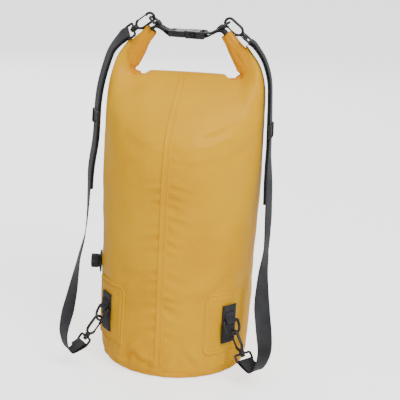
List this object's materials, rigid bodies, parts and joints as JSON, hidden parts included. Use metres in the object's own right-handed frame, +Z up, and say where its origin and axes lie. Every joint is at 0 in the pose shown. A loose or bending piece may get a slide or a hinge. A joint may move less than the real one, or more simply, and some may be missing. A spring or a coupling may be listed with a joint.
{
  "type": "dry bag",
  "caption": "Yellow roll-top dry bag with the ends of its roll buckled into a handle, two black shoulder straps on snap hooks, and an air valve.",
  "frame": {"origin": "centre of the base's underside, on the ground", "axes": "+Z up along the bag; +X to the right when looking at the back panel, along the roll; the back panel, with straps and seam, faces -Y"},
  "size_m": [0.3129, 0.2327, 0.5116],
  "materials": {
    "fabric": "satin",
    "webbing": "matte",
    "plastic": "satin",
    "rubber": "matte"
  },
  "bodies": {
    "root": {"back_seam_strip": "fabric", "bag_base": "fabric", "bag_body": "fabric", "buckle_female": "plastic", "buckle_male": "plastic", "buckle_tab_left": "webbing", "buckle_tab_right": "webbing", "lower_left_base": "plastic", "lower_right_base": "plastic", "mouth_stiffener": "plastic", "patch_left": "fabric", "patch_right": "fabric", "ring_loop_left": "webbing", "ring_loop_right": "webbing", "roll_closure": "fabric", "strap_left": "webbing", "strap_right": "webbing", "tab_left": "webbing", "tab_right": "webbing", "upper_left_base": "plastic", "upper_loop_left": "webbing", "upper_loop_right": "webbing", "upper_right_base": "plastic", "valve_flange": "plastic", "valve_stem": "plastic"},
    "ring_left": {"ring_left": "plastic"},
    "upper_ring_left": {"upper_ring_left": "plastic"},
    "lower_left_hook": {"lower_left_hook": "plastic"},
    "lower_left_gate": {"lower_left_gate": "plastic"},
    "upper_left_hook": {"upper_left_hook": "plastic"},
    "upper_left_gate": {"upper_left_gate": "plastic"},
    "slider_left": {"slider_left": "plastic"},
    "ring_right": {"ring_right": "plastic"},
    "upper_ring_right": {"upper_ring_right": "plastic"},
    "lower_right_hook": {"lower_right_hook": "plastic"},
    "lower_right_gate": {"lower_right_gate": "plastic"},
    "upper_right_hook": {"upper_right_hook": "plastic"},
    "upper_right_gate": {"upper_right_gate": "plastic"},
    "slider_right": {"slider_right": "plastic"},
    "latch_arm_front": {"latch_arm_front": "plastic"},
    "latch_arm_rear": {"latch_arm_rear": "plastic"},
    "valve_gasket": {"valve_gasket": "rubber"},
    "valve_cap": {"valve_cap": "plastic"}
  },
  "joints": [
    {"name": "ring_swing_left", "type": "hinge", "parent": "root", "child": "ring_left", "pos_m": [-0.09334, -0.07558, 0.087], "axis": [-0.6293, 0.7771, 0], "range_deg": [-5, 5]},
    {"name": "upper_ring_swing_left", "type": "hinge", "parent": "root", "child": "upper_ring_left", "pos_m": [-0.046, 0, 0.4966], "axis": [0, 1, 0], "range_deg": [-5, 5]},
    {"name": "lower_left_swivel", "type": "hinge", "parent": "root", "child": "lower_left_hook", "pos_m": [-0.12049, -0.09757, 0.03664], "axis": [0.4785, 0.3874, 0.788], "range_deg": [-20, 20]},
    {"name": "lower_left_gate_flex", "type": "hinge", "parent": "lower_left_hook", "child": "lower_left_gate", "pos_m": [-0.10465, -0.08475, 0.05232], "axis": [0.6293, -0.7771, 0], "range_deg": [0, 35], "stiffness_Nm_per_rad": 0.05},
    {"name": "upper_left_swivel", "type": "hinge", "parent": "root", "child": "upper_left_hook", "pos_m": [-0.08935, 0, 0.47851], "axis": [0.788, 0, 0.6157], "range_deg": [-20, 20]},
    {"name": "upper_left_gate_flex", "type": "hinge", "parent": "upper_left_hook", "child": "upper_left_gate", "pos_m": [-0.07367, 0, 0.49888], "axis": [0, 1, 0], "range_deg": [0, 35], "stiffness_Nm_per_rad": 0.05},
    {"name": "slider_slide_left", "type": "slide", "parent": "root", "child": "slider_left", "axis": [0.0333, 0.0012, 0.9994], "range_m": [-0.008, 0.008]},
    {"name": "ring_swing_right", "type": "hinge", "parent": "root", "child": "ring_right", "pos_m": [0.09334, -0.07558, 0.087], "axis": [0.6293, 0.7771, 0], "range_deg": [-5, 5]},
    {"name": "upper_ring_swing_right", "type": "hinge", "parent": "root", "child": "upper_ring_right", "pos_m": [0.046, 0, 0.4966], "axis": [0, 1, 0], "range_deg": [-5, 5]},
    {"name": "lower_right_swivel", "type": "hinge", "parent": "root", "child": "lower_right_hook", "pos_m": [0.12049, -0.09757, 0.03664], "axis": [-0.4785, 0.3874, 0.788], "range_deg": [-20, 20]},
    {"name": "lower_right_gate_flex", "type": "hinge", "parent": "lower_right_hook", "child": "lower_right_gate", "pos_m": [0.10465, -0.08475, 0.05232], "axis": [0.6293, 0.7771, 0], "range_deg": [0, 35], "stiffness_Nm_per_rad": 0.05},
    {"name": "upper_right_swivel", "type": "hinge", "parent": "root", "child": "upper_right_hook", "pos_m": [0.08935, 0, 0.47851], "axis": [-0.788, 0, 0.6157], "range_deg": [-20, 20]},
    {"name": "upper_right_gate_flex", "type": "hinge", "parent": "upper_right_hook", "child": "upper_right_gate", "pos_m": [0.06579, 0, 0.48879], "axis": [0, 1, 0], "range_deg": [0, 35], "stiffness_Nm_per_rad": 0.05},
    {"name": "slider_slide_right", "type": "slide", "parent": "root", "child": "slider_right", "axis": [-0.0333, 0.0012, 0.9994], "range_m": [-0.008, 0.008]},
    {"name": "latch_press_front", "type": "hinge", "parent": "root", "child": "latch_arm_front", "pos_m": [-0.0025, -0.0095, 0.4845], "axis": [0, 0, 1], "range_deg": [0, 10], "stiffness_Nm_per_rad": 0.4},
    {"name": "latch_press_rear", "type": "hinge", "parent": "root", "child": "latch_arm_rear", "pos_m": [-0.0025, 0.0095, 0.4845], "axis": [0, 0, -1], "range_deg": [0, 10], "stiffness_Nm_per_rad": 0.4},
    {"name": "valve_lift", "type": "slide", "parent": "root", "child": "valve_gasket", "axis": [-0.9848, -0.1736, 0], "range_m": [0, 0.0025]},
    {"name": "valve_turn", "type": "hinge", "parent": "valve_gasket", "child": "valve_cap", "pos_m": [-0.12458, -0.02197, 0.139], "axis": [-0.9848, -0.1736, 0], "range_deg": [0, 300]}
  ],
  "couplings": [
    {"joint": "valve_turn", "follows": "valve_lift", "rad_per_m": 2094.4}
  ]
}
